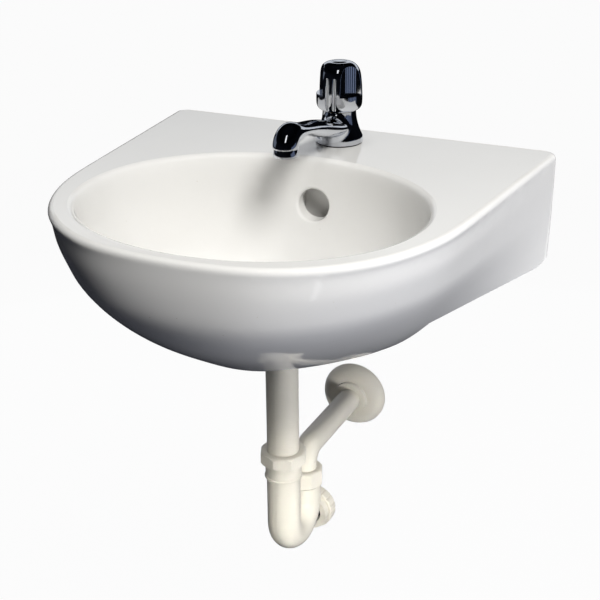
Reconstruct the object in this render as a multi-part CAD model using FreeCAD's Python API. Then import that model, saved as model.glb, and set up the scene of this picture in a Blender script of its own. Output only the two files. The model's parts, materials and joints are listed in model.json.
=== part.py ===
import FreeCAD, Part
import math
import os

V = FreeCAD.Vector

# Wall-hung washbasin with a single pillar tap, a slotted waste and a tubular trap.
# Frame: the wall is the plane Y = 0 with the wall on the +Y side, the room is on the -Y side, +Z is up.
# The origin lies on the wall, midway between the two fixing holes. All lengths are millimetres.
# "Drop" is a distance down from the flat deck, "reach" is a distance out from the wall.

# Whole basin
basin_width = 420.0
basin_reach = 398.0
basin_height = 163.0
bolt_drop = 62.0
bolt_spacing = 200.0
bolt_hole = 14.0
overrun = 2.0

# Ceramic shell: rim, side aprons and walls
rim_roll = 5.0
corner_radius = 10.0
apron_height = 114.0
apron_round = 24.0
deck_thickness = 13.0
back_wall = 14.0
wall_grind = 0.5
side_wall = 12.0
rim_power = 2.4
shell_power = 2.2

# Bowl
bowl_width = 316.0
bowl_depth = 120.0
front_rim = 19.0
shelf_depth = 110.0
lip_roll = 6.5
bowl_wall = 10.0
bowl_power = 2.05
floor_radius = 34.0

# Overflow
overflow_drop = 47.0
overflow_hole = 32.0
overflow_bore = 37.0
overflow_soft = 3.0
duct_width = 40.0
duct_depth = 14.0
duct_outlet = 10.0
duct_cover = 8.0

# Waste hole and the well under it
waste_reach = 188.0
waste_hole = 46.0
waste_wall = 20.0
well_radius = 42.0

# Tap: holes, foot, body and spout
tap_reach = 48.0
tap_hole = 30.0
foot_radius = 23.5
foot_edge = 5.0
foot_round = 3.0
spout_blend = 8.0
neck_radius = 16.5
neck_height = 33.0
gasket_thickness = 1.5
gasket_margin = 1.0
shank_radius = 10.48
shank_length = 58.0
shank_free = 26.0
shank_groove = 2.0
shank_groove_depth = 0.7
inlet_bore = 7.0
spout_reach = 125.0
spout_rise = 40.0
nozzle_radius = 12.4
nozzle_height = 28.0
nozzle_straight = 1.0
waterway_radius = 6.0
tap_washer_thickness = 3.0
tap_nut_height = 9.0
tap_nut_flats = 32.0

# Headwork: the screw-down valve in the tap's neck
chamber_radius = 11.0
seat_height = 5.0
valve_washer_radius = 8.5
valve_washer_thickness = 3.0
plunger_disc = 3.0
plunger_square = 12.0
plunger_height = 13.0
valve_lift = 4.5
slide_gap = 0.3
spindle_radius = 4.0
spindle_screw_radius = 3.0
spindle_collar_radius = 5.7
spindle_collar = 1.8
running_gap = 0.05
bonnet_gap = 0.1
bonnet_flange_radius = 13.0
bonnet_flange = 4.0
bonnet_neck_radius = 8.0
bonnet_neck = 8.0
o_ring_width = 2.2
o_ring_depth = 1.1

# Tap handle
handle_radius = 22.8
handle_height = 46.5
handle_lift = 1.2
handle_wall = 4.0
handle_skirt = 11.5
socket_depth = 11.0
lobe_count = 3
scallop_radius = 30.0
scallop_depth = 7.5
scallop_ledge = 16.0
scallop_soft = 0.7
flute_radius = 2.2
flute_turn = 9.5
flute_top = 34.0
screw_radius = 1.9
screw_length = 12.0
screw_head_radius = 3.6
screw_head = 2.6
screw_well_radius = 5.0
cap_radius = 8.0
cap_thickness = 2.4
cap_plug = 5.0
cap_gap = 0.1

# Aerator in the nozzle
aerator_height = 8.0
aerator_radius = 11.9
aerator_thread_radius = 10.0
aerator_thread = 4.0
aerator_bore = 8.3
aerator_lip = 1.4
aerator_disc = 5.0
aerator_hole = 1.1
aerator_rim = 0.35
aerator_washer = 1.2
aerator_soft = 0.8

# Waste fitting
flange_radius = 32.0
flange_thickness = 3.0
waste_seal_thickness = 1.0
waste_radius = 20.9
waste_bore = 17.5
grate_bar = 5.0
grate_thickness = 3.5
slot_height = 12.0
slot_width = 16.0
waste_washer_thickness = 3.0
waste_washer_radius = 32.0
waste_nut_height = 6.0
waste_nut_flats = 58.0
nut_gap = 1.0

# Tailpiece
tail_radius = 16.0
tail_wall = 2.0
tail_length = 149.0
tail_flange_radius = 20.0
tail_flange = 2.5
tail_seal_thickness = 1.5
tail_nut_height = 13.0
tail_nut_flats = 52.0
nut_lip = 3.0
slip_gap = 0.35

# Trap
trap_radius = 16.8
trap_bore = 13.6
socket_length = 22.0
neck_wall = 3.1
collar_radius = 18.0
bead_radius = 18.9
bead_height = 3.0
bead_soft = 1.2
inlet_nut_flats = 44.0
inlet_nut_height = 13.5
seal_height = 3.5
leg_length = 52.5
bend_radius = 25.5
outlet_leg = 16.0
seat_land = 3.0
outlet_neck = 13.0
outlet_nut_flats = 36.0
outlet_nut_height = 19.0
nut_round = 4.0
nut_soft = 2.0
nut_sides = 8
clean_branch = 16.8
clean_radius = 19.4
clean_collar = 14.0
clean_bore = 13.5
clean_length = 48.5
clean_cap_radius = 23.0
clean_cap_soft = 1.5
clean_rib = 1.2
clean_rib_count = 18
clean_cap_skirt = 8.0
clean_cap_plate = 4.0
clean_seal_thickness = 2.0
clean_grip = 7.0
clean_grip_width = 6.0
clean_grip_length = 32.0

# Outlet pipe and its wall flange
pipe_radius = 12.5
pipe_wall = 2.0
pipe_rise = 52.0
pipe_bend = 18.0
pipe_tail = 30.0
pipe_spigot = 26.0
pipe_mark = 1.5
pipe_mark_depth = 0.5
rose_radius = 36.0
rose_depth = 18.0
rose_wall = 2.0
rose_hub_radius = 19.5
rose_hub = 5.0
rose_soft = 0.8

# Levels and places worked out from the sizes above
deck_z = bolt_drop
under_z = deck_z - basin_height
apron_z = deck_z - apron_height
floor_z = deck_z - bowl_depth
roof_z = floor_z - waste_wall
half_width = basin_width / 2
waste_y = -waste_reach
tap_y = -tap_reach

# Shell stations below the rim: drop as a share of the height, then the front reach, the place of the
# widest part of the bowl and its half width, and the half width at the wall, as shares of the whole basin.
shell_drop_shares = (0.06, 0.11, 0.18, 0.33, 0.475, 0.61, 0.735, 0.85, 0.93, 0.977, 1.0)
shell_front_shares = (1.0, 1.0, 0.999, 0.99, 0.958, 0.90, 0.825, 0.748, 0.682, 0.628, 0.59)
shell_belly_shares = (0.538, 0.536, 0.533, 0.523, 0.51, 0.50, 0.49, 0.482, 0.477, 0.475, 0.472)
shell_half_shares = (0.906, 0.901, 0.893, 0.864, 0.815, 0.748, 0.668, 0.568, 0.465, 0.365, 0.24)
shell_wall_shares = (1.0, 1.0, 0.9995, 0.998, 0.996, 0.993, 0.988, 0.98, 0.97, 0.96, 0.95)
shell_square_shares = (0.95, 0.91, 0.85, 0.55, 0.25, 0.0, 0.0, 0.0, 0.0, 0.0, 0.0)
rim_belly_share = 0.54
rim_half_share = 0.912

# Rounded heel of the shell behind the waste, below the aprons
heel_drop_shares = (0.66, 0.735, 0.85, 0.93, 0.977, 1.0)
heel_half_shares = (0.742, 0.68, 0.58, 0.477, 0.377, 0.252)
heel_back_shares = (0.17, 0.18, 0.21, 0.25, 0.295, 0.345)
heel_belly_share = 0.49

# Bowl stations below the lip: drop as a share of the bowl's depth, then half width, reach to the front
# and to the back of the waste, and the place of the widest part, as shares of the bowl's own sizes.
bowl_drop_shares = (0.238, 0.437, 0.635, 0.778, 0.889, 0.96)
bowl_half_shares = (0.99, 0.965, 0.905, 0.815, 0.685, 0.50)
bowl_front_shares = (0.99, 0.96, 0.89, 0.785, 0.64, 0.45)
bowl_back_shares = (0.985, 0.96, 0.90, 0.82, 0.72, 0.59)
bowl_belly_shares = (0.97, 0.90, 0.75, 0.55, 0.35, 0.15)
bowl_belly_reach = 247.0

# Spout sections from the tap's axis to the nozzle: place along the reach, height of the centre as a share of
# the rise, half width and half height as shares of the nozzle, and the turn of the section in degrees.
spout_place_shares = (0.055, 0.30, 0.58, 0.82, 0.962)
spout_rise_shares = (0.43, 0.575, 0.815, 0.955, 0.92)
spout_half_shares = (1.22, 1.16, 1.02, 0.97, 0.98)
spout_deep_shares = (0.78, 0.67, 0.57, 0.65, 0.84)
spout_turns = (6.0, 13.0, 13.0, -4.0, -50.0)

# Half profile of the tap handle from its lower edge to the flat for the cap: shares of its radius and height
handle_radius_shares = (0.82, 0.96, 1.0, 0.985, 0.95, 0.88, 0.68, 0.36)
handle_height_shares = (0.0, 0.07, 0.2, 0.45, 0.65, 0.82, 0.95, 1.0)

# Height of the wall rose's dome at the middle of its slope, as a share of the height of its shoulder
rose_dome_share = 0.8

# Parameters shared by every outline, so that neighbouring stations match point for point
corner_turns = (0.0, 30.0, 60.0)
side_shares = (0.0, 0.34, 0.68)
front_turns = (0.0, 15.0, 30.0, 45.0, 60.0, 75.0)
oval_count = 18
roll_turns = (90.0, 60.0, 30.0, 0.0)
lip_turns = (78.0, 52.0, 26.0, 0.0)


# Small helpers

def disc(radius, z0, z1, y=0.0, x=0.0):
    return Part.makeCylinder(radius, z1 - z0, V(x, y, z0))


def ring(outer, inner, z0, z1, y=0.0):
    return disc(outer, z0, z1, y).cut(disc(inner, z0 - overrun, z1 + overrun, y))


def block(x0, x1, y0, y1, z0, z1):
    return Part.makeBox(x1 - x0, y1 - y0, z1 - z0, V(x0, y0, z0))


def soft_disc(radius, z0, z1, y, soft):
    body = disc(radius, z0, z1, y)
    rims = [edge for edge in body.Edges if isinstance(edge.Curve, Part.Circle)]
    return body.makeFillet(soft, rims)


def turned(profile, y=0.0):
    """Solid of revolution about the vertical axis at reach -y, from (radius, height) corners."""
    points = [V(r, y, z) for r, z in profile]
    face = Part.Face(Part.makePolygon(points + points[:1]))
    return face.revolve(V(0, y, 0), V(0, 0, 1), 360)


def turned_face(edges, y=0.0):
    return Part.Face(Part.Wire(edges)).revolve(V(0, y, 0), V(0, 0, 1), 360)


def line(a, b):
    return Part.LineSegment(a, b).toShape()


def arc(a, b, c):
    return Part.Arc(a, b, c).toShape()


def prism(sides, flats, z0, z1, y=0.0):
    corner = flats / 2 / math.cos(math.pi / sides)
    points = []
    for i in range(sides + 1):
        turn = 2 * math.pi * i / sides
        points.append(V(corner * math.cos(turn), y + corner * math.sin(turn), z0))
    return Part.Face(Part.makePolygon(points)).extrude(V(0, 0, z1 - z0))


def spline(points, closed=False):
    last = len(points) if closed else len(points) - 1
    curve = Part.BSplineCurve()
    curve.interpolate(Points=points, PeriodicFlag=closed, Parameters=[i / last for i in range(last + 1)])
    return curve.toShape()


def edges_inside(shape, low, high):
    """Edges that lie wholly inside the box between two corners."""
    room = FreeCAD.BoundBox(low.x, low.y, low.z, high.x, high.y, high.z)
    return [edge for edge in shape.Edges if room.isInside(edge.BoundBox)]


def between(shares, levels, level):
    """Straight reading of a table of shares at a level between its stations."""
    for i in range(len(levels) - 1):
        if level <= levels[i + 1]:
            part = (level - levels[i]) / (levels[i + 1] - levels[i])
            return shares[i] + part * (shares[i + 1] - shares[i])
    return shares[-1]


# Basin body

def shell_station(front, belly, half, wall, z, power):
    """D-shaped outline: straight at the wall, straight sides that close in, rounded front."""
    slope = (wall - half) / belly
    corner = []
    for turn in corner_turns:
        swing = math.radians(turn)
        corner.append(V(wall - corner_radius * (1 - math.sin(swing)),
                        wall_grind - (corner_radius + wall_grind) * (1 - math.cos(swing)), z))
    side = []
    for share in side_shares:
        reach = corner_radius + (belly - corner_radius) * share
        side.append(V(wall - slope * reach, -reach, z))
    for turn in front_turns:
        s = math.sin(math.radians(turn))
        reach = belly + (front - belly) * s
        swell = (1 - s ** power) ** (1 / power)
        side.append(V((wall - slope * reach) * swell, -reach, z))
    points = side + [V(0, -front, z)] + [V(-p.x, p.y, p.z) for p in reversed(side)]
    corner.append(points[0])
    mirror = [V(-p.x, p.y, p.z) for p in reversed(corner)]
    return Part.Wire([line(mirror[-1], corner[0]), spline(corner), spline(points), spline(mirror)])


def shell_solid():
    stations = []
    for turn in roll_turns:
        inset = rim_roll * (1 - math.cos(math.radians(turn)))
        drop = rim_roll * (1 - math.sin(math.radians(turn)))
        stations.append(shell_station(basin_reach - inset, rim_belly_share * basin_reach,
                                      rim_half_share * half_width - inset, half_width - inset, deck_z - drop,
                                      rim_power))
    for i, share in enumerate(shell_drop_shares):
        stations.append(shell_station(shell_front_shares[i] * basin_reach, shell_belly_shares[i] * basin_reach,
                                      shell_half_shares[i] * half_width, shell_wall_shares[i] * half_width,
                                      deck_z - share * basin_height,
                                      shell_power + (rim_power - shell_power) * shell_square_shares[i]))
    return Part.makeLoft(stations, True, False)


def oval(half, front, back, belly, z, power):
    """Closed outline that is widest at the belly, with its own reach to the front and to the back."""
    points = []
    for i in range(oval_count):
        turn = 2 * math.pi * i / oval_count
        across = abs(math.sin(turn)) ** (2 / power) * (1 if math.sin(turn) >= 0 else -1)
        along = abs(math.cos(turn)) ** (2 / power)
        reach = belly - (belly - back) * along if math.cos(turn) >= 0 else belly + (front - belly) * along
        points.append(V(half * across, -reach, z))
    return Part.Wire(spline(points, True))


def heel_solid():
    belly = heel_belly_share * basin_reach
    stations = []
    for i, share in enumerate(heel_drop_shares):
        stations.append(oval(heel_half_shares[i] * half_width, basin_reach, heel_back_shares[i] * basin_reach,
                             belly, deck_z - share * basin_height, 2))
    stations.append(oval(heel_half_shares[-1] * half_width, basin_reach, heel_back_shares[-1] * basin_reach,
                         belly, under_z - waste_wall, 2))
    return Part.makeLoft(stations, True, False)


def bowl_station(half, front, back, belly, drop, grow):
    return oval(half + grow, front + grow, back - grow, belly, deck_z - drop, bowl_power)


def bowl_solid(grow=0.0):
    """The hollow of the bowl, or, grown by a wall, the outside of the bowl's own wall."""
    half, front = bowl_width / 2, basin_reach - front_rim
    depth = bowl_depth + grow
    stations = []
    if grow:
        stations.append(bowl_station(half, front, shelf_depth, bowl_belly_reach, -overrun, grow))
    else:
        first = math.radians(lip_turns[0])
        skirt = lip_roll * (1 - math.cos(first)) + math.tan(first) * (lip_roll * (1 - math.sin(first)) + overrun / 2)
        stations.append(bowl_station(half, front, shelf_depth, bowl_belly_reach, -overrun / 2, skirt))
        for turn in lip_turns:
            flare = lip_roll * (1 - math.cos(math.radians(turn)))
            drop = lip_roll * (1 - math.sin(math.radians(turn)))
            stations.append(bowl_station(half, front, shelf_depth, bowl_belly_reach, drop, flare))
    for i, share in enumerate(bowl_drop_shares):
        stations.append(bowl_station(half * bowl_half_shares[i],
                                     waste_reach + (front - waste_reach) * bowl_front_shares[i],
                                     waste_reach - (waste_reach - shelf_depth) * bowl_back_shares[i],
                                     waste_reach + (bowl_belly_reach - waste_reach) * bowl_belly_shares[i],
                                     share * depth, grow))
    stations.append(bowl_station(floor_radius, waste_reach + floor_radius, waste_reach - floor_radius,
                                 waste_reach, depth, grow))
    return Part.makeLoft(stations, True, False)


def apron_line(drop):
    """Half width at the wall and closing-in per unit of reach of the shell's side at a drop."""
    levels = (0.0,) + shell_drop_shares
    share = drop / basin_height
    wall = half_width * between((1.0,) + shell_wall_shares, levels, share)
    half = half_width * between((rim_half_share,) + shell_half_shares, levels, share)
    belly = basin_reach * between((rim_belly_share,) + shell_belly_shares, levels, share)
    return wall, (wall - half) / belly


def rear_hollow(heel, bowl_outside):
    """Open space under the deck behind the bowl, where the tap and the wall fixings are reached."""
    reach = waste_reach - floor_radius
    loops = []
    for drop in (deck_thickness, apron_height + overrun):
        wall, slope = apron_line(drop)
        near, far = wall - side_wall - slope * back_wall, wall - side_wall - slope * reach
        z = deck_z - drop
        corners = [V(-near, -back_wall, z), V(near, -back_wall, z), V(far, -reach, z), V(-far, -reach, z)]
        loops.append(Part.makePolygon(corners + corners[:1]))
    hollow = Part.makeLoft(loops, True, True)
    boss_half = duct_width / 2 + duct_cover
    boss_back = shelf_depth - bowl_wall - duct_depth - duct_cover
    boss = block(-boss_half, boss_half, -basin_reach, -boss_back, under_z, deck_z)
    return hollow.cut(bowl_outside).cut(heel).cut(boss)


def apron_corners():
    """Cut that rounds the lower corners of the aprons at the wall."""
    room = block(-basin_width, basin_width, -apron_round, overrun, apron_z - overrun, apron_z + apron_round)
    centre = V(-basin_width, -apron_round, apron_z + apron_round)
    return room.cut(Part.makeCylinder(apron_round, 2 * basin_width, centre, V(1, 0, 0)))


def overflow_cut():
    """Mouth in the bowl's rear wall, and the duct that leads down behind the bowl to the waste."""
    front = shelf_depth - bowl_wall
    back = front - duct_depth
    low = floor_z - waste_wall / 3
    top = deck_z - overflow_drop + overflow_hole / 2
    bend = floor_z + bowl_depth / 4
    corners = [V(0, -front, top), V(0, -front, bend), V(0, -(front + waste_reach) / 2, floor_z - duct_cover / 2),
               V(0, waste_y, low), V(0, waste_y, low - duct_outlet),
               V(0, -(front + waste_reach) / 2 + duct_depth, low - duct_outlet),
               V(0, -back, bend - duct_depth / 2), V(0, -back, top)]
    duct = Part.Face(Part.makePolygon(corners + corners[:1])).extrude(V(duct_width, 0, 0))
    duct.translate(V(-duct_width / 2, 0, 0))
    centre = V(0, -back - duct_depth / 2, deck_z - overflow_drop)
    mouth = Part.makeCylinder(overflow_hole / 2, overflow_bore, centre, V(0, -1, 0))
    return duct.fuse(mouth)


def basin_body():
    shell = shell_solid()
    heel = heel_solid()
    below = block(-basin_width, basin_width, -heel_belly_share * basin_reach, basin_width,
                  under_z - basin_height, apron_z)
    body = shell.cut(below.cut(heel))
    body = body.cut(block(-basin_width, basin_width, 0, basin_width, under_z - basin_height, deck_z + basin_height))
    body = body.cut(apron_corners())
    body = body.cut(bowl_solid())
    body = body.cut(rear_hollow(heel, bowl_solid(bowl_wall)))
    body = body.cut(overflow_cut())
    mouth_z = deck_z - overflow_drop
    mouth = edges_inside(body, V(-overflow_hole, -shelf_depth - bowl_wall, mouth_z - overflow_hole),
                         V(overflow_hole, -shelf_depth + bowl_wall / 2, mouth_z + overflow_hole))
    body = body.makeFillet(overflow_soft, mouth)
    body = body.cut(disc(waste_hole / 2, roof_z - overrun, floor_z + overrun, waste_y))
    body = body.cut(disc(well_radius, under_z - overrun, roof_z, waste_y))
    body = body.cut(disc(tap_hole / 2, deck_z - deck_thickness - overrun, deck_z + overrun, tap_y))
    for side in (-1, 1):
        start = V(side * bolt_spacing / 2, -back_wall - overrun, 0)
        body = body.cut(Part.makeCylinder(bolt_hole / 2, back_wall + 2 * overrun, start, V(0, 1, 0)))
    return body


# Pillar tap

foot_z = deck_z + gasket_thickness
neck_z = deck_z + neck_height
seat_z = deck_z + seat_height
nozzle_z = deck_z + nozzle_height

def spout_sections(grow_half, grow_deep):
    wires = []
    for i, place in enumerate(spout_place_shares):
        half = grow_half * spout_half_shares[i]
        deep = grow_deep * spout_deep_shares[i]
        turn = math.radians(spout_turns[i])
        centre = V(0, tap_y - place * spout_reach, deck_z + spout_rise * spout_rise_shares[i])
        points = []
        for k in range(oval_count):
            angle = 2 * math.pi * k / oval_count
            up = deep * math.cos(angle)
            points.append(centre + V(half * math.sin(angle), up * math.sin(turn), up * math.cos(turn)))
        wires.append(Part.Wire(spline(points, True)))
    for level in (nozzle_z + nozzle_straight, nozzle_z):
        points = []
        for k in range(oval_count):
            angle = 2 * math.pi * k / oval_count
            points.append(V(grow_half * math.sin(angle), tap_y - spout_reach - grow_half * math.cos(angle), level))
        wires.append(Part.Wire(spline(points, True)))
    return wires


def tap_body():
    waist = (foot_radius + neck_radius) / 2
    middle = (foot_z + neck_z) / 2
    a, b = V(0, tap_y, foot_z), V(foot_radius, tap_y, foot_z)
    c = V(foot_radius, tap_y, foot_z + foot_edge)
    d = V(waist - foot_edge / 5, tap_y, middle)
    e, f = V(neck_radius, tap_y, neck_z), V(0, tap_y, neck_z)
    pillar = turned_face([line(a, b), line(b, c), arc(c, d, e), line(e, f), line(f, a)], tap_y)
    spout = Part.makeLoft(spout_sections(nozzle_radius, nozzle_radius), True, False)
    ledge = foot_z + foot_edge
    rim = edges_inside(pillar, V(-2 * foot_radius, tap_y - 2 * foot_radius, ledge - overrun),
                       V(2 * foot_radius, tap_y + 2 * foot_radius, ledge + overrun))
    body = pillar.makeFillet(foot_round, rim).fuse(spout)
    join = edges_inside(body, V(-foot_radius, tap_y - spout_reach / 2, ledge + overrun),
                        V(foot_radius, tap_y - neck_radius / 3, neck_z))
    body = body.makeFillet(spout_blend, join)
    shank_end = foot_z - shank_length
    groove = shank_end + shank_free
    body = body.fuse(disc(shank_radius, shank_end, foot_z + overrun, tap_y))
    body = body.cut(ring(shank_radius + overrun, shank_radius - shank_groove_depth, groove, groove + shank_groove, tap_y))
    waterway = Part.makeLoft(spout_sections(waterway_radius, waterway_radius), True, False)
    body = body.cut(waterway)
    body = body.cut(disc(aerator_thread_radius, nozzle_z - overrun, nozzle_z + aerator_thread + aerator_washer,
                         tap_y - spout_reach))
    body = body.cut(disc(chamber_radius, seat_z, neck_z + overrun, tap_y))
    return body.cut(disc(inlet_bore, shank_end - overrun, seat_z + overrun, tap_y))


def tap_gasket():
    return ring(foot_radius - gasket_margin, shank_radius + slip_gap, deck_z, foot_z, tap_y)


hollow_z = deck_z - deck_thickness
tap_nut_z = hollow_z - tap_washer_thickness


def tap_washer():
    return ring(tap_nut_flats / 2 + gasket_margin, shank_radius + slip_gap, tap_nut_z, hollow_z, tap_y)


def tap_backnut():
    nut = prism(6, tap_nut_flats, tap_nut_z - tap_nut_height, tap_nut_z, tap_y)
    return nut.cut(disc(shank_radius, tap_nut_z - tap_nut_height - overrun, tap_nut_z + overrun, tap_y))


# Headwork, shown shut: the washer rests on the seat

washer_top = seat_z + valve_washer_thickness
plunger_z = washer_top + plunger_disc
plunger_top = plunger_z + plunger_height
collar_z = plunger_top + valve_lift + 2 * slide_gap
collar_top = collar_z + spindle_collar
bonnet_z = plunger_z + valve_lift + slide_gap
bonnet_top = neck_z + bonnet_flange + bonnet_neck
handle_z = neck_z + handle_lift
handle_top = handle_z + handle_height
stem_top = bonnet_top + slide_gap + socket_depth
screw_floor = stem_top + handle_wall


def square_bar(side, z0, z1, y):
    return block(-side / 2, side / 2, y - side / 2, y + side / 2, z0, z1)


def valve_washer():
    return ring(valve_washer_radius, screw_radius, seat_z, washer_top, tap_y)


def valve_plunger():
    """Carrier of the valve washer: its square shank slides in the bonnet and its bore takes the screw."""
    body = disc(valve_washer_radius - slide_gap, washer_top, plunger_z, tap_y)
    body = body.fuse(square_bar(plunger_square, plunger_z, plunger_top, tap_y))
    body = body.fuse(disc(screw_radius, seat_z, washer_top, tap_y))
    return body.cut(disc(spindle_screw_radius + running_gap, plunger_z - overrun / 2, plunger_top + overrun, tap_y))


def tap_bonnet():
    body = disc(chamber_radius - bonnet_gap, bonnet_z, neck_z, tap_y)
    body = body.fuse(prism(6, 2 * bonnet_flange_radius * math.cos(math.pi / 6), neck_z, neck_z + bonnet_flange, tap_y))
    body = body.fuse(disc(bonnet_neck_radius, neck_z, bonnet_top, tap_y))
    body = body.cut(square_bar(plunger_square + 2 * slide_gap, bonnet_z - overrun, collar_z, tap_y))
    body = body.cut(disc(spindle_collar_radius + slide_gap, bonnet_z, collar_top, tap_y))
    return body.cut(disc(spindle_radius + running_gap, bonnet_z, bonnet_top + overrun, tap_y))


def o_ring_level():
    return (collar_top + bonnet_top) / 2


def tap_spindle():
    """Turns without rising: its collar sits under the bonnet's roof and its screw lifts the plunger."""
    screw_end = plunger_z + valve_lift + overrun / 2
    body = disc(spindle_screw_radius, screw_end, collar_z + spindle_collar, tap_y)
    body = body.fuse(disc(spindle_collar_radius, collar_z, collar_top, tap_y))
    body = body.fuse(disc(spindle_radius, collar_top, stem_top, tap_y))
    level = o_ring_level()
    body = body.cut(ring(spindle_radius + overrun, spindle_radius - o_ring_depth, level, level + o_ring_width, tap_y))
    return body.cut(disc(screw_radius, stem_top - screw_length, stem_top + overrun, tap_y))


def spindle_o_ring():
    level = o_ring_level()
    return ring(spindle_radius + running_gap / 2, spindle_radius - o_ring_depth, level, level + o_ring_width, tap_y)


def handle_outline():
    """Half profile of the domed handle, widest low down."""
    shares = zip(handle_radius_shares, handle_height_shares)
    return [V(handle_radius * r, tap_y, handle_z + handle_height * z) for r, z in shares]


def tap_handle():
    """Three-lobed handle: a domed knob with three hollowed grips and paired flutes on the lobes."""
    points = handle_outline()
    side = spline(points)
    axis_low, axis_top = V(0, tap_y, handle_z), V(0, tap_y, handle_top)
    body = turned_face([line(axis_low, points[0]), side, line(points[-1], axis_top), line(axis_top, axis_low)], tap_y)
    body.rotate(axis_low, V(0, 0, 1), 360 / lobe_count - 90)
    ledge = handle_z + scallop_ledge
    for i in range(lobe_count):
        hollow = disc(scallop_radius, ledge, handle_top + overrun, tap_y - handle_radius + scallop_depth - scallop_radius)
        hollow.rotate(axis_low, V(0, 0, 1), 360 * (i + 0.5) / lobe_count)
        body = body.cut(hollow)
    grips = edges_inside(body, V(-2 * handle_radius, tap_y - 2 * handle_radius, ledge - scallop_soft / 2),
                         V(2 * handle_radius, tap_y + 2 * handle_radius, handle_top - scallop_soft / 2))
    body = body.makeFillet(scallop_soft, [edge for edge in grips if isinstance(edge.Curve, Part.BSplineCurve)])
    for i in range(lobe_count):
        for side_turn in (-flute_turn, flute_turn):
            turn = 2 * math.pi * i / lobe_count + math.radians(side_turn)
            body = body.cut(disc(flute_radius, handle_z - overrun, handle_z + flute_top,
                                 tap_y - handle_radius * math.cos(turn), handle_radius * math.sin(turn)))
    inner = handle_radius * handle_radius_shares[0] - handle_wall
    body = body.cut(disc(inner, handle_z - overrun, handle_z + handle_skirt, tap_y))
    body = body.cut(disc(spindle_radius, handle_z, stem_top, tap_y))
    body = body.cut(disc(screw_radius, stem_top - overrun, screw_floor + overrun, tap_y))
    body = body.cut(disc(screw_well_radius, screw_floor, handle_top + overrun, tap_y))
    return body.cut(disc(cap_radius, handle_top - cap_thickness, handle_top + overrun, tap_y))


def handle_screw():
    body = disc(screw_head_radius, screw_floor, screw_floor + screw_head, tap_y)
    return body.fuse(disc(screw_radius, screw_floor + screw_head / 2 - screw_length, screw_floor + overrun / 2, tap_y))


def handle_cap():
    base = handle_top - cap_thickness
    edge = cap_radius - cap_gap
    a, b = V(0, tap_y, base), V(edge, tap_y, base)
    c = V(edge, tap_y, handle_top)
    d = V(edge * 2 / 3, tap_y, handle_top + cap_thickness / 4)
    e = V(edge / 3, tap_y, handle_top + cap_thickness / 3)
    f = V(0, tap_y, handle_top + cap_thickness / 3)
    body = turned_face([line(a, b), line(b, c), arc(c, d, e), line(e, f), line(f, a)], tap_y)
    return body.fuse(disc(screw_well_radius - cap_gap, base - cap_plug, base, tap_y))


# Aerator

spout_y = tap_y - spout_reach
aerator_z = nozzle_z - aerator_height


def aerator_ring():
    body = soft_disc(aerator_radius, aerator_z, nozzle_z, spout_y, aerator_soft)
    body = body.fuse(disc(aerator_thread_radius - bonnet_gap, nozzle_z, nozzle_z + aerator_thread, spout_y))
    body = body.cut(disc(aerator_bore, aerator_z + aerator_lip, nozzle_z + aerator_thread + overrun, spout_y))
    return body.cut(disc(aerator_bore - aerator_lip, aerator_z - overrun, aerator_z + 2 * overrun, spout_y))


def aerator_insert():
    low = aerator_z + aerator_lip
    body = disc(aerator_bore - slide_gap, low, low + aerator_disc, spout_y)
    outer = aerator_bore - slide_gap - aerator_rim - aerator_hole
    holes = []
    for turns, radius in ((1, 0), (6, outer / 2), (12, outer)):
        for k in range(turns):
            angle = 2 * math.pi * k / turns
            holes.append(disc(aerator_hole, low - overrun, low + aerator_disc + overrun,
                              spout_y + radius * math.sin(angle), radius * math.cos(angle)))
    return body.cut(Part.makeCompound(holes))


def aerator_seal():
    low = nozzle_z + aerator_thread
    return ring(aerator_thread_radius - slip_gap, aerator_bore - aerator_lip, low, low + aerator_washer, spout_y)


# Waste

waste_top = floor_z + waste_seal_thickness
waste_nut_z = roof_z - waste_washer_thickness
tail_nut_z = waste_nut_z - waste_nut_height - nut_gap - tail_nut_height
tail_top = tail_nut_z + nut_lip + tail_flange
waste_end = tail_top + tail_seal_thickness


def waste_seal():
    return ring(flange_radius - gasket_margin, waste_radius + slip_gap, floor_z, waste_top, waste_y)


def waste_body():
    """Slotted waste: dished flange with a cross grate, and a threaded tube with two overflow slots."""
    rim = waste_top + flange_thickness / 3
    crown = waste_top + flange_thickness
    a, b = V(0, waste_y, waste_top), V(flange_radius, waste_y, waste_top)
    c, e = V(flange_radius, waste_y, rim), V(waste_bore, waste_y, crown)
    d = V((flange_radius + waste_bore) / 2, waste_y, crown - flange_thickness / 6)
    f = V(0, waste_y, crown)
    body = turned_face([line(a, b), line(b, c), arc(c, d, e), line(e, f), line(f, a)], waste_y)
    body = body.fuse(disc(waste_radius, waste_end, waste_top + flange_thickness / 3, waste_y))
    body = body.cut(disc(waste_bore, waste_end - overrun, crown + overrun, waste_y))
    grate = block(-grate_bar / 2, grate_bar / 2, waste_y - waste_bore - overrun / 2, waste_y + waste_bore + overrun / 2,
                  waste_top - grate_thickness, waste_top)
    across = grate.copy()
    across.rotate(V(0, waste_y, 0), V(0, 0, 1), 90)
    body = body.fuse(grate).fuse(across)
    slot_mid = floor_z - waste_wall / 3 - duct_outlet / 2
    slot = block(-slot_width / 2, slot_width / 2, waste_y - 2 * waste_radius, waste_y + 2 * waste_radius,
                 slot_mid - slot_height / 2, slot_mid + slot_height / 2)
    return body.cut(slot)


def waste_washer():
    return ring(waste_washer_radius, waste_radius + slip_gap, waste_nut_z, roof_z, waste_y)


def waste_backnut():
    nut = prism(6, waste_nut_flats, waste_nut_z - waste_nut_height, waste_nut_z, waste_y)
    return nut.cut(disc(waste_radius, waste_nut_z - waste_nut_height - overrun, waste_nut_z + overrun, waste_y))


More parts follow.
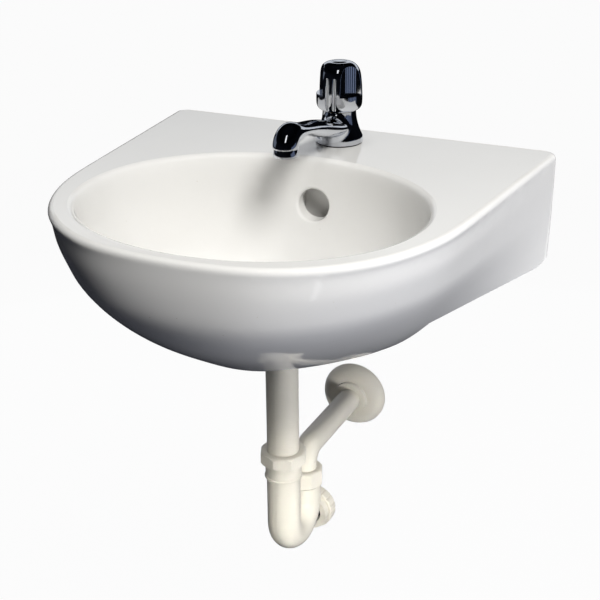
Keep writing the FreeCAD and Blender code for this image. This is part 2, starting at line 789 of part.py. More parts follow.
def rounded_nut(sides, flats, z0, z1, y):
    """Moulded nut: flats with rounded shoulders at both ends."""
    corner = flats / 2 / math.cos(math.pi / sides)
    turn = nut_round * (1 - math.sqrt(0.5))
    low, high = V(0, y, z0), V(0, y, z1)
    a, b = V(corner - nut_round, y, z0), V(corner, y, z0 + nut_round)
    c, d = V(corner, y, z1 - nut_round), V(corner - nut_round, y, z1)
    edges = [line(low, a), arc(a, V(corner - turn, y, z0 + turn), b), line(b, c),
             arc(c, V(corner - turn, y, z1 - turn), d), line(d, high), line(high, low)]
    bar = prism(sides, flats, z0, z1, y)
    upright = [edge for edge in bar.Edges if edge.BoundBox.ZLength > (z1 - z0) / 2]
    return bar.makeFillet(nut_soft, upright).common(turned_face(edges, y))


def tail_nut():
    top = tail_nut_z + tail_nut_height
    nut = rounded_nut(nut_sides, tail_nut_flats, tail_nut_z, top, waste_y)
    nut = nut.cut(disc(waste_radius, tail_nut_z + nut_lip, top + overrun, waste_y))
    return nut.cut(disc(tail_radius + slip_gap, tail_nut_z - overrun, top, waste_y))


def tail_seal():
    return ring(tail_flange_radius - slip_gap, tail_radius - tail_wall, tail_top, waste_end, waste_y)


# Tailpiece and trap

tail_end = tail_top - tail_length
trap_top = tail_end + socket_length
inlet_nut_top = trap_top + seal_height + nut_lip
inlet_nut_z = inlet_nut_top - inlet_nut_height
collar_low = tail_end - overrun
leg_z = collar_low - leg_length
bend_z = leg_z - bend_radius
bend_y = waste_y + bend_radius
outlet_y = waste_y + 2 * bend_radius
neck_radius_in = tail_radius + slip_gap
neck_radius_out = neck_radius_in + neck_wall
outlet_neck_z = leg_z + outlet_leg
outlet_top = outlet_neck_z + outlet_neck
outlet_bore = pipe_radius + slip_gap
bore_end = leg_z + overrun / 2
pipe_end = bore_end + seat_land
outlet_nut_top = outlet_top + seal_height + nut_lip
outlet_nut_z = outlet_nut_top - outlet_nut_height
pipe_z = pipe_end + pipe_rise


def tailpiece():
    body = disc(tail_flange_radius, tail_top - tail_flange, tail_top, waste_y)
    body = body.fuse(disc(tail_radius, tail_end, tail_top, waste_y))
    return body.cut(disc(tail_radius - tail_wall, tail_end - overrun, tail_top + overrun, waste_y))


def u_bend(radius, rise_in, rise_out):
    """Round bar along the U: down the inlet leg, round the bend and up the outlet leg."""
    a, b = V(0, waste_y, rise_in), V(0, waste_y, leg_z)
    c, d = V(0, outlet_y, leg_z), V(0, outlet_y, rise_out)
    path = Part.Wire([line(a, b), arc(b, V(0, bend_y, bend_z), c), line(c, d)])
    section = Part.Wire(Part.makeCircle(radius, a, V(0, 0, -1)))
    return path.makePipeShell([section], True, False)


def along_wall(radius, y0, y1, z):
    return Part.makeCylinder(radius, y1 - y0, V(0, y0, z), V(0, 1, 0))


clean_y = bend_y + clean_length


def trap_body():
    body = u_bend(trap_radius, collar_low, outlet_neck_z)
    body = body.fuse(disc(collar_radius, collar_low, inlet_nut_z + overrun, waste_y))
    body = body.fuse(soft_disc(bead_radius, collar_low, collar_low + bead_height, waste_y, bead_soft))
    body = body.fuse(disc(neck_radius_out, inlet_nut_z + overrun / 2, trap_top, waste_y))
    body = body.fuse(disc(outlet_bore + neck_wall, outlet_neck_z - overrun, outlet_top, outlet_y))
    body = body.fuse(along_wall(clean_branch, bend_y, clean_y, bend_z))
    body = body.fuse(along_wall(clean_radius, clean_y - clean_collar, clean_y, bend_z))
    body = body.cut(u_bend(trap_bore, tail_end + overrun / 2, bore_end))
    body = body.cut(disc(neck_radius_in, tail_end, trap_top + overrun, waste_y))
    body = body.cut(disc(pipe_radius - pipe_wall, bore_end - overrun, pipe_end + overrun, outlet_y))
    body = body.cut(disc(outlet_bore, pipe_end, outlet_top + overrun, outlet_y))
    return body.cut(along_wall(clean_bore, bend_y, clean_y + overrun, bend_z))


def slip_nut(flats, height, top, bore, thread, y):
    nut = rounded_nut(nut_sides, flats, top - height, top, y)
    nut = nut.cut(disc(thread + slip_gap, top - height - overrun, top - nut_lip, y))
    return nut.cut(disc(bore + slip_gap, top - height, top + overrun, y))


def inlet_nut():
    return slip_nut(inlet_nut_flats, inlet_nut_height, inlet_nut_top, tail_radius, neck_radius_out, waste_y)


def inlet_seal():
    return ring(neck_radius_out, tail_radius, trap_top, trap_top + seal_height, waste_y)


def outlet_nut():
    return slip_nut(outlet_nut_flats, outlet_nut_height, outlet_nut_top, pipe_radius, outlet_bore + neck_wall, outlet_y)


def outlet_seal():
    return ring(outlet_bore + neck_wall, pipe_radius, outlet_top, outlet_top + seal_height, outlet_y)


def outlet_path(radius):
    turn = pipe_bend * (1 - math.sqrt(0.5))
    a, b = V(0, outlet_y, pipe_end), V(0, outlet_y, pipe_z - pipe_bend)
    m = V(0, outlet_y + turn, pipe_z - turn)
    c, d = V(0, outlet_y + pipe_bend, pipe_z), V(0, pipe_tail, pipe_z)
    path = Part.Wire([line(a, b), arc(b, m, c), line(c, d)])
    return path.makePipeShell([Part.Wire(Part.makeCircle(radius, a, V(0, 0, 1)))], True, False)


def outlet_pipe():
    """Bent pipe with a ring groove that marks how far its end goes into the drain."""
    body = outlet_path(pipe_radius).cut(outlet_path(pipe_radius - pipe_wall))
    mark = pipe_tail - pipe_spigot
    groove = along_wall(pipe_radius + overrun, mark - pipe_mark, mark, pipe_z)
    return body.cut(groove.cut(along_wall(pipe_radius - pipe_mark_depth, mark - pipe_mark, mark, pipe_z)))


def cleanout_seal():
    return along_wall(clean_radius, clean_y, clean_y + clean_seal_thickness, bend_z)


def cleanout_cap():
    inside = clean_y + clean_seal_thickness
    back = inside + clean_cap_plate
    front = back - clean_cap_skirt - clean_cap_plate
    body = soft_disc(clean_cap_radius, 0, back - front, 0, clean_cap_soft)
    body.rotate(V(0, 0, 0), V(1, 0, 0), -90)
    body.translate(V(0, front, bend_z))
    body = body.cut(along_wall(clean_radius + slip_gap, front - overrun, inside, bend_z))
    for i in range(clean_rib_count):
        turn = 2 * math.pi * i / clean_rib_count
        flute = Part.makeCylinder(clean_rib, back - front + 2 * overrun, V(0, front - overrun, 0), V(0, 1, 0))
        flute.translate(V(clean_cap_radius * math.cos(turn), 0, bend_z + clean_cap_radius * math.sin(turn)))
        body = body.cut(flute)
    grip = block(-clean_grip_length / 2, clean_grip_length / 2, back - overrun, back + clean_grip,
                 bend_z - clean_grip_width / 2, bend_z + clean_grip_width / 2)
    return body.fuse(grip)


def wall_rose():
    """Domed cover plate that hides the hole in the wall, with a short hub round the pipe."""
    bore = pipe_radius + slip_gap
    shoulder = rose_depth - rose_hub
    a, b = V(rose_radius, 0, 0), V(rose_radius, -rose_wall, 0)
    mid = V((rose_radius + rose_hub_radius) / 2 + rose_wall, -shoulder * rose_dome_share, 0)
    c = V(rose_hub_radius, -shoulder, 0)
    d, e = V(rose_hub_radius, -rose_depth, 0), V(bore, -rose_depth, 0)
    f = V(bore, -shoulder + rose_wall, 0)
    g = V(rose_hub_radius - rose_wall, -shoulder + rose_wall, 0)
    h = V((rose_radius + rose_hub_radius) / 2, -shoulder * rose_dome_share + rose_wall, 0)
    k = V(rose_radius - rose_wall, 0, 0)
    edges = [line(a, b), arc(b, mid, c), line(c, d), line(d, e), line(e, f), line(f, g), arc(g, h, k), line(k, a)]
    body = Part.Face(Part.Wire(edges)).revolve(V(0, 0, 0), V(0, 1, 0), 360)
    rims = edges_inside(body, V(-2 * rose_radius, -rose_depth - rose_soft, -2 * rose_radius),
                        V(2 * rose_radius, rose_soft - rose_depth, 2 * rose_radius))
    rims += edges_inside(body, V(-2 * rose_radius, -rose_wall - rose_soft, -2 * rose_radius),
                         V(2 * rose_radius, rose_soft - rose_wall, 2 * rose_radius))
    body = body.makeFillet(rose_soft, rims)
    body.translate(V(0, 0, pipe_z))
    return body


MAKERS = [basin_body, tap_body, tap_gasket, tap_washer, tap_backnut, tap_bonnet, tap_spindle, spindle_o_ring,
          valve_plunger, valve_washer, tap_handle, handle_screw, handle_cap, aerator_ring, aerator_insert,
          aerator_seal, waste_body, waste_seal, waste_washer, waste_backnut, tail_nut, tail_seal, tailpiece,
          trap_body, inlet_nut, inlet_seal, outlet_nut, outlet_seal, outlet_pipe, cleanout_cap, cleanout_seal,
          wall_rose]

os.makedirs("parts", exist_ok=True)
for maker in MAKERS:
    shape = maker()
    shape.exportStep("parts/" + maker.__name__ + ".step")
    print(maker.__name__, round(shape.Volume), len(shape.Solids), shape.isValid())
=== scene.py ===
# %% [markdown]
# # A wall-hung washbasin
# This lesson dresses a small china washbasin: the basin itself, a chrome pillar tap and the plastic trap below.
# The solids come in at their real size, in metres, with the wall at Y = 0, the room on the -Y side and Z up.
# Nothing is fitted by eye afterwards. Every new piece takes its place from the solids it sits on.

# %% Load the frame
import json
import math
import bmesh
import bpy
from mathutils import Matrix, Vector


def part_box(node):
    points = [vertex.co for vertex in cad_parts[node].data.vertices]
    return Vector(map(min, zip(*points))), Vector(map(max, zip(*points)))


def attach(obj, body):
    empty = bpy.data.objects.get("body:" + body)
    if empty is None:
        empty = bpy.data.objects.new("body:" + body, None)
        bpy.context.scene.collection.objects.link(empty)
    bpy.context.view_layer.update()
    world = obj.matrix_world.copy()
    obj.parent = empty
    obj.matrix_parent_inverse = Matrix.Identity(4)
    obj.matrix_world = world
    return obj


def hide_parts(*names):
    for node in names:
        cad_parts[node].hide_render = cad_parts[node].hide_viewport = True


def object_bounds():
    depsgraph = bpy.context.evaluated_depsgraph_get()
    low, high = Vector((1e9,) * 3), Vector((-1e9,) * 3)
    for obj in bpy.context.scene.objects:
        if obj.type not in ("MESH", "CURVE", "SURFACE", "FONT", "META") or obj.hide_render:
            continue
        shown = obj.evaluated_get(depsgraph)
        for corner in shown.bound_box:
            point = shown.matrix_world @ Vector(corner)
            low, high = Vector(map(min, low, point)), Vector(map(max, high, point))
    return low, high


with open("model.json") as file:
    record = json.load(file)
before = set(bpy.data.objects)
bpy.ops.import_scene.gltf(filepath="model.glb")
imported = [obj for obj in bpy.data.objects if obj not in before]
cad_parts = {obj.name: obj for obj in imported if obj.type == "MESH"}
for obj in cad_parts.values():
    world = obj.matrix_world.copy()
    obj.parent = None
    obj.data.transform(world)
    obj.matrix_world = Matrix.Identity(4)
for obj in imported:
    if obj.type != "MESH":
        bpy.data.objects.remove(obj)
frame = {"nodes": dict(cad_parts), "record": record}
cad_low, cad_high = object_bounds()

MM = 0.001
scene = bpy.context.scene
nodes = frame["nodes"]
print("solids:", len(nodes), "box in mm:", [round((b - a) / MM) for a, b in zip(cad_low, cad_high)])

# %% [markdown]
# ## Colours and shader nodes
# Colours are written as the hex codes that a colour picker shows. Shaders want linear light, so one function
# turns the first into the second. A second function adds a shader node, sets it up and links it, so that each
# finish below reads as a short list of what it is made of.

# %% Colour and node helpers
def linear(code):
    """Linear RGBA of an sRGB hex code."""
    channels = [int(code[i:i + 2], 16) / 255 for i in (1, 3, 5)]
    return [c / 12.92 if c <= 0.04045 else ((c + 0.055) / 1.055) ** 2.4 for c in channels] + [1.0]


def add(tree, kind, settings=None, **links):
    """Adds a node. Settings are its own properties. Links are its sockets, each given a value or another node's
    output. A socket goes by its name, or by its number where several share one: _6 and _7 are a Mix's colours."""
    node = tree.nodes.new(kind)
    for name, value in (settings or {}).items():
        setattr(node, name, value)
    for name, value in links.items():
        socket = node.inputs[int(name[1:])] if name[1:].isdigit() else node.inputs[name.replace("_", " ")]
        if isinstance(value, bpy.types.NodeSocket):
            tree.links.new(value, socket)
        else:
            socket.default_value = value
    return node


print("white is", [round(c, 2) for c in linear("#ffffff")])

# %% [markdown]
# ## Camera
# The photograph was taken from the right and a little above. A camera could be turned by hand until the picture
# looks right. Here a pinhole camera was fitted to the deck's corners, the rim and the waste tube. That gives
# where it stood, which way it looked and how long its lens was, so those numbers are used as they are.

# %% Camera
EYE_MM = (489.2, -1203.6, 432.1)
YAW, PITCH, ROLL = 24.8, 23.38, -0.53
FOCAL_PIXELS, PICTURE_PIXELS, SENSOR_MM = 1300, 600, 36

camera_data = bpy.data.cameras.new("camera")
camera_data.sensor_width = SENSOR_MM
camera_data.lens = SENSOR_MM * FOCAL_PIXELS / PICTURE_PIXELS
camera = bpy.data.objects.new("camera", camera_data)
turn = (Matrix.Rotation(math.radians(YAW), 4, "Z") @ Matrix.Rotation(math.radians(90 - PITCH), 4, "X")
        @ Matrix.Rotation(math.radians(ROLL), 4, "Z"))
camera.matrix_world = Matrix.Translation(Vector(EYE_MM) * MM) @ turn
scene.collection.objects.link(camera)
scene.camera = camera
print("lens", round(camera_data.lens, 1), "mm")

# %% [markdown]
# ## Flat panels for the stage
# The floor and the cards that the tap will mirror are plain flat panels. Each could be a plane that is moved
# and turned as an object. A function makes them instead, from a place and a point to face, so that a row of
# numbers is enough.

# %% Stage panels
def new_object(name, shape, material):
    """Turns a bmesh into an object in the scene, with one finish."""
    mesh = bpy.data.meshes.new(name)
    shape.to_mesh(mesh)
    shape.free()
    mesh.materials.append(material)
    made = bpy.data.objects.new(name, mesh)
    scene.collection.objects.link(made)
    return made


def stage_panel(name, width, height, centre, target, material):
    """A flat stage panel that faces a point."""
    shape = bmesh.new()
    # A size of 0.5 gives a square of 1 m, because it is counted from the middle.
    bmesh.ops.create_grid(shape, x_segments=1, y_segments=1, size=0.5)
    bmesh.ops.scale(shape, vec=(width, height, 1), verts=shape.verts)
    toward = (Vector(target) - Vector(centre)).to_track_quat("Z", "Y").to_matrix().to_4x4()
    shape.transform(Matrix.Translation(Vector(centre)) @ toward)
    panel = new_object(name, shape, material)
    return panel


print("helpers:", new_object.__name__, "and", stage_panel.__name__)

# %% [markdown]
# ## Floor
# The picture has a white background, and the basin hangs well above any floor. More light on a grey floor would
# make it white, but would light the basin from below as well. So this floor is white only to the camera and to
# mirror rays, and plain grey to all others. A little of its own shading is kept in the camera's view, and with
# it the shadow.

# %% Floor
FLOOR_DROP, FLOOR_SIDE, WHITE_SHARE = 0.46, 30, 0.96
floor_z = cad_low.z - FLOOR_DROP


def new_finish(name):
    """An empty material and its node tree, with only the output left in it."""
    material = bpy.data.materials.new(name)
    material.use_nodes = True
    tree = material.node_tree
    for node in list(tree.nodes):
        if node.type != "OUTPUT_MATERIAL":
            tree.nodes.remove(node)
    return material, tree


def surface(tree, shader):
    """Links a shader to the material's output."""
    output = next(n for n in tree.nodes if n.type == "OUTPUT_MATERIAL")
    tree.links.new(shader.outputs[0], output.inputs["Surface"])


def seen_rays(tree):
    """One for camera, mirror and see-through rays, none for the rest."""
    rays = add(tree, "ShaderNodeLightPath")
    either = add(tree, "ShaderNodeMath", {"operation": "MAXIMUM"}, _0=rays.outputs["Is Camera Ray"],
                 _1=rays.outputs["Is Glossy Ray"])
    return add(tree, "ShaderNodeMath", {"operation": "MAXIMUM"}, _0=either.outputs[0],
               _1=rays.outputs["Is Transmission Ray"]).outputs[0]


floor_paint, tree = new_finish("pale_floor_paint")
matt = add(tree, "ShaderNodeBsdfDiffuse", Color=linear("#c9c9c9"))
white = add(tree, "ShaderNodeEmission", Color=linear("#ffffff"), Strength=1.0)
share = add(tree, "ShaderNodeMath", {"operation": "MULTIPLY"}, _0=seen_rays(tree), _1=WHITE_SHARE)
surface(tree, add(tree, "ShaderNodeMixShader", Fac=share.outputs[0], _1=matt.outputs[0], _2=white.outputs[0]))
stage_panel("floor", FLOOR_SIDE, FLOOR_SIDE, (0, 0, floor_z), (0, 0, floor_z + 1), floor_paint)
print("floor at", round(floor_z, 2), "m")

# %% [markdown]
# ## Background
# Beyond the floor the world does the same: near white to the camera and to mirror rays, a dim, cool room to all
# others. A big white wall would do it too, but it would have to be turned with every other view.

# %% World
world = bpy.data.worlds.new("studio")
world.use_nodes = True
scene.world = world
tree = world.node_tree
tree.nodes.clear()
room = add(tree, "ShaderNodeBackground", Color=linear("#dfe4ee"), Strength=0.25)
backdrop = add(tree, "ShaderNodeBackground", Color=linear("#fcfcfc"), Strength=1.0)
both = add(tree, "ShaderNodeMixShader", Fac=seen_rays(tree), _1=room.outputs[0], _2=backdrop.outputs[0])
add(tree, "ShaderNodeOutputWorld", Surface=both.outputs[0])
scene.view_settings.view_transform = "Standard"
print("world", world.name, "seen as", scene.view_settings.view_transform)

# %% [markdown]
# ## Black cloth
# Chrome has no colour of its own: it looks like chrome only where it mirrors both dark and bright things. The
# photographer's way is black cloth all round the set, so that the bright parts of the tap are the white basin
# under it and a few highlights. A dark world would blacken the background as well, so the cloth is a closed
# drum that the camera and the shadows don't see.

# %% Cloth
DRUM_RADIUS, DRUM_HEIGHT, DRUM_GAP, DRUM_SIDES = 2.8, 3.4, 0.02, 48
cloth, tree = new_finish("black_stage_cloth")
surface(tree, add(tree, "ShaderNodeBsdfDiffuse", Color=linear("#191b21")))
shape = bmesh.new()
drum = bmesh.ops.create_cone(shape, segments=DRUM_SIDES, radius1=DRUM_RADIUS, radius2=DRUM_RADIUS,
                             depth=DRUM_HEIGHT, cap_ends=True)
bmesh.ops.translate(shape, vec=(0, 0, floor_z + DRUM_GAP + DRUM_HEIGHT / 2), verts=drum["verts"])
tent = new_object("black_drum", shape, cloth)
tent.visible_camera = tent.visible_shadow = False
print("cloth drum", [round(v, 1) for v in tent.dimensions], "m")

# %% [markdown]
# ## Lamps
# White china is lit with large softboxes. The key stands to the right in front, and throws the spout's shadow
# on the bowl's back wall. One above lifts the deck, two on the right open up the side, and cooler ones at the
# left, behind and below keep the other sides from going black. A narrow beam picks out the trap, which the
# basin shades. Seen in the tap, a row of white squares would give the set away, so these lamps are kept out of
# mirror rays. A faint copy of the key and two strips are seen there instead, and draw the highlights on the
# chrome and the glaze.

# %% Lamps
BASIN_MIDDLE, KEY_PLACE, BEAM_DEGREES = (0, -0.2, -0.03), (0.95, -1.13, 1.45), 14


def softbox(name, width, height, centre, target, watts, colour, mirrored):
    """A rectangular lamp that faces a point."""
    lamp = bpy.data.lights.new(name, "AREA")
    lamp.shape, lamp.size, lamp.size_y = "RECTANGLE", width, height
    lamp.energy, lamp.color = watts, linear(colour)[:3]
    holder = bpy.data.objects.new(name, lamp)
    holder.rotation_mode = "QUATERNION"
    holder.location = centre
    holder.rotation_quaternion = (Vector(target) - Vector(centre)).to_track_quat("-Z", "Y")
    holder.visible_camera, holder.visible_glossy = False, mirrored
    scene.collection.objects.link(holder)


# A row gives name, width and height, place, the point it faces, watts and colour.
LIGHTING = (("softbox_key", 0.6, 0.6, KEY_PLACE, BASIN_MIDDLE, 32, "#fffefb"),
            ("softbox_top", 1.0, 1.0, (-0.1, -0.2, 2.0), (0, -0.2, 0), 9, "#ffffff"),
            ("softbox_right", 0.7, 0.6, (1.7, -0.25, 0.15), BASIN_MIDDLE, 4.5, "#f9faff"),
            ("softbox_low", 0.7, 0.6, (1.65, -0.3, -0.3), BASIN_MIDDLE, 10.5, "#f6f8ff"),
            ("softbox_left", 1.2, 1.2, (-1.5, 0.9, -0.1), (0, -0.2, -0.1), 15, "#eef2ff"),
            ("softbox_back", 1.4, 0.9, (-0.4, 1.7, -0.1), (0, 0, -0.1), 15, "#f4f6ff"),
            ("softbox_under", 1.2, 1.2, (0.5, -0.9, -0.75), (0, -0.2, -0.1), 1.9, "#e6ebff"),
            ("softbox_trap", 0.15, 0.15, (0.6, -1.3, -0.36), (0, -0.165, -0.285), 0.072, "#fffdf8"))
HIGHLIGHTS = (("gleam_key", 0.5, 0.5, KEY_PLACE, BASIN_MIDDLE, 0.45, "#ffffff"),
              ("strip_nozzle", 0.2, 0.75, (0.18, -1.0, 1.34), (0, -0.18, 0.1), 0.6, "#ffffff"),
              ("strip_low", 0.06, 0.4, (0.75, -0.85, -0.58), (0, -0.19, -0.25), 0.12, "#ffffff"))
for row in LIGHTING:
    softbox(*row, mirrored=False)
for row in HIGHLIGHTS:
    softbox(*row, mirrored=True)
bpy.data.lights["softbox_trap"].spread = math.radians(BEAM_DEGREES)

# %% [markdown]
# ## Cards for the chrome
# A mirror needs something to mirror. Behind the set stands a long grey card: the knob's cap shows it, and it
# draws a thin horizon line along the spout. A darker one on the left sets the tap's left edges off from the
# black. On the right a bluish card with upright bars stands for a window with its blinds, and gives the knob's
# hollow its cool stripes. A picture of a room would do the same, but cards can be placed one by one. They are
# seen in reflections alone, so they neither light the basin nor shade it.

# %% Cards
TAP_MIDDLE = (0, -0.05, 0.12)
grey_card, tree = new_finish("grey_card")
surface(tree, add(tree, "ShaderNodeEmission", Color=linear("#d0d4da"), Strength=1.0))
dim_card, tree = new_finish("dim_card")
surface(tree, add(tree, "ShaderNodeEmission", Color=linear("#626873"), Strength=1.0))
window_card, tree = new_finish("window_card")
place = add(tree, "ShaderNodeTexCoord").outputs["Object"]
# At a scale of 1 the bars are about 0.3 m apart, and the distortion makes them uneven.
bars = add(tree, "ShaderNodeTexWave", {"bands_direction": "Y"}, Vector=place, Scale=1.0, Distortion=2.0)
glow = add(tree, "ShaderNodeMix", {"data_type": "RGBA"}, Factor=bars.outputs["Fac"],
           _6=linear("#10141d"), _7=linear("#76829c"))
surface(tree, add(tree, "ShaderNodeEmission", Color=glow.outputs[2], Strength=1.0))
cards = [stage_panel("horizon_card", 3.2, 0.52, (-0.5, 1.5, 0.55), (0, 0, 0.1), grey_card),
         stage_panel("left_card", 1.6, 0.9, (-2.0, -0.1, 0.45), TAP_MIDDLE, dim_card),
         stage_panel("window_card", 1.6, 1.0, (1.95, 0.0, -0.25), TAP_MIDDLE, window_card)]
for card in cards:
    card.visible_camera = card.visible_diffuse = card.visible_shadow = False
print("cards", [c.name for c in cards])

# %% [markdown]
# ## Glazed vitreous china
# The basin is one casting of vitreous china under a white glaze. The glaze is glass: a sharp reflection over a
# bright, very slightly warm body, with a faint waviness where it ran in the kiln and a few pin-head specks. The
# face that stands on the wall was ground flat after firing, so the glaze is gone there and the bare, matt,
# cream body shows. A mask on the Object coordinate that points at the wall separates the two, which is simpler
# and sharper than painting faces.

# %% China
def per_metre(size_mm):
    """Texture scale that gives features of about this size, because Object coordinates are in metres."""
    return 1 / (size_mm * MM)


china, tree = new_finish("glazed_vitreous_china")
place = add(tree, "ShaderNodeTexCoord").outputs["Object"]
cloud = add(tree, "ShaderNodeTexNoise", Vector=place, Scale=per_metre(90), Detail=3.0)
# The glaze's thickness changes slowly over the casting, which the eye reads as warmer and cooler white.
white = add(tree, "ShaderNodeMix", {"data_type": "RGBA"}, Factor=cloud.outputs["Fac"],
            _6=linear("#f5f4f2"), _7=linear("#f0efec"))
# Specks are about 0.4 mm on the real glaze, drawn at about 0.8 mm so that a close view shows them. There is
# one in each cell of about 16 mm, and its radius is a share of the cell.
cells = add(tree, "ShaderNodeTexVoronoi", Vector=place, Scale=per_metre(16))
speck = add(tree, "ShaderNodeMapRange", Value=cells.outputs["Distance"], From_Min=0.022, From_Max=0.03)
tint = add(tree, "ShaderNodeMix", {"data_type": "RGBA"}, Factor=speck.outputs[0],
           _6=linear("#d8d2c6"), _7=white.outputs[2])
run = add(tree, "ShaderNodeTexNoise", Vector=place, Scale=per_metre(22), Detail=1.0)
wave = add(tree, "ShaderNodeBump", Strength=0.05, Distance=0.3 * MM, Height=run.outputs["Fac"])
gloss = add(tree, "ShaderNodeMapRange", Value=cloud.outputs["Fac"], To_Min=0.06, To_Max=0.11)
glazed = add(tree, "ShaderNodeBsdfPrincipled", Base_Color=tint.outputs[2], Roughness=gloss.outputs[0], IOR=1.52,
             Normal=wave.outputs[0])
# Grinding leaves scratches a few tenths of a millimetre apart, drawn at 1.2 mm so that they show.
grit = add(tree, "ShaderNodeTexNoise", Vector=place, Scale=per_metre(1.2), Detail=2.0)
body_tint = add(tree, "ShaderNodeMix", {"data_type": "RGBA"}, Factor=grit.outputs["Fac"],
                _6=linear("#ddd5c3"), _7=linear("#cfc6b3"))
scratch = add(tree, "ShaderNodeBump", Strength=0.3, Distance=0.1 * MM, Height=grit.outputs["Fac"])
bare = add(tree, "ShaderNodeBsdfPrincipled", Base_Color=body_tint.outputs[2], Roughness=0.85,
           Normal=scratch.outputs[0])
# The ground face lies at Y = 0, and the glaze ends a few tenths of a millimetre in front of it.
depth = add(tree, "ShaderNodeSeparateXYZ", Vector=place)
ground = add(tree, "ShaderNodeMapRange", Value=depth.outputs["Y"], From_Min=-0.5 * MM, From_Max=-0.2 * MM)
surface(tree, add(tree, "ShaderNodeMixShader", Fac=ground.outputs[0], _1=glazed.outputs[0], _2=bare.outputs[0]))
print("china:", len(tree.nodes), "nodes")

# %% [markdown]
# ## Bright chrome plate
# The tap is cast brass, polished and plated with nickel and a thin layer of chromium. It is a mirror with a
# cold tint. What tells plating from a perfect mirror is a trace of the polished casting under it: reflections
# bend a little over half a centimetre or so, and the gloss is a touch softer in places. One fine noise gives
# the first, a slower one the second.

# %% Chrome
chrome, tree = new_finish("bright_chrome_plate")
place = add(tree, "ShaderNodeTexCoord").outputs["Object"]
haze = add(tree, "ShaderNodeTexNoise", Vector=place, Scale=per_metre(12), Detail=4.0)
gloss = add(tree, "ShaderNodeMapRange", Value=haze.outputs["Fac"], To_Min=0.03, To_Max=0.09)
peel = add(tree, "ShaderNodeTexNoise", Vector=place, Scale=per_metre(5), Detail=1.0)
ripple = add(tree, "ShaderNodeBump", Strength=0.06, Distance=0.1 * MM, Height=peel.outputs["Fac"])
surface(tree, add(tree, "ShaderNodeBsdfPrincipled", Base_Color=linear("#d9dce2"), Metallic=1.0,
                  Roughness=gloss.outputs[0], Normal=ripple.outputs[0]))
print("chrome:", len(tree.nodes), "nodes")

# %% [markdown]
# ## Moulded polypropylene
# The trap, its pipes and the rose are moulded from off-white polypropylene. It is waxy, with a broad sheen and
# a tint that drifts where the melt flowed. The two halves of the mould meet in the upright plane through the
# trap, and leave a fine raised line there. The line could be modelled as a ridge, but it is so low that a bump
# in the finish is enough.

# %% Trap plastic
moulding, tree = new_finish("moulded_polypropylene")
place = add(tree, "ShaderNodeTexCoord").outputs["Object"]
flow = add(tree, "ShaderNodeTexNoise", Vector=place, Scale=per_metre(45), Detail=3.0)
tint = add(tree, "ShaderNodeMix", {"data_type": "RGBA"}, Factor=flow.outputs["Fac"],
           _6=linear("#efeadc"), _7=linear("#e6e1d3"))
skin = add(tree, "ShaderNodeTexNoise", Vector=place, Scale=per_metre(1.5), Detail=2.0)
grain = add(tree, "ShaderNodeBump", Strength=0.08, Distance=0.1 * MM, Height=skin.outputs["Fac"])
# The mould line is about 0.2 mm wide on the real trap, drawn at about 0.5 mm so that it shows.
across = add(tree, "ShaderNodeSeparateXYZ", Vector=place)
offset = add(tree, "ShaderNodeMath", {"operation": "ABSOLUTE"}, _0=across.outputs["X"])
ridge = add(tree, "ShaderNodeMapRange", Value=offset.outputs[0], From_Min=0.15 * MM, From_Max=0.35 * MM,
            To_Min=1.0, To_Max=0.0)
line = add(tree, "ShaderNodeBump", Strength=0.5, Distance=0.2 * MM, Height=ridge.outputs[0],
           Normal=grain.outputs[0])
gloss = add(tree, "ShaderNodeMapRange", Value=flow.outputs["Fac"], To_Min=0.24, To_Max=0.36)
surface(tree, add(tree, "ShaderNodeBsdfPrincipled", Base_Color=tint.outputs[2], Roughness=gloss.outputs[0],
                  IOR=1.49, Normal=line.outputs[0]))
print("trap plastic:", len(tree.nodes), "nodes")

# %% [markdown]
# ## Spark-textured polypropylene
# The nuts are moulded too, in a tool whose face was cut by sparks. The pits of that face come out on the
# plastic as a fine grain, so the nuts are more matt than the trap and look a shade whiter. One fine noise
# drives both the grain and the gloss, so that the two agree.

# %% Nut plastic
nut_moulding, tree = new_finish("spark_textured_polypropylene")
place = add(tree, "ShaderNodeTexCoord").outputs["Object"]
flow = add(tree, "ShaderNodeTexNoise", Vector=place, Scale=per_metre(30), Detail=3.0)
tint = add(tree, "ShaderNodeMix", {"data_type": "RGBA"}, Factor=flow.outputs["Fac"],
           _6=linear("#efebdf"), _7=linear("#e8e3d6"))
# Spark erosion leaves pits of 0.05 mm or so, drawn at 0.7 mm so that they show as a matt grain.
pits = add(tree, "ShaderNodeTexNoise", Vector=place, Scale=per_metre(0.7), Detail=3.0)
grain = add(tree, "ShaderNodeBump", Strength=0.16, Distance=0.1 * MM, Height=pits.outputs["Fac"])
gloss = add(tree, "ShaderNodeMapRange", Value=pits.outputs["Fac"], To_Min=0.38, To_Max=0.55)
surface(tree, add(tree, "ShaderNodeBsdfPrincipled", Base_Color=tint.outputs[2], Roughness=gloss.outputs[0],
                  IOR=1.49, Normal=grain.outputs[0]))
print("nut plastic:", len(tree.nodes), "nodes")

# %% [markdown]
# ## Moulded rubber
# Gasket, seals and washers are black rubber. Its oils and waxes come to the surface as a grey bloom, so it is
# never one even black, and its sheen is wide and weak. One noise for both tint and gloss is enough for pieces
# this small.

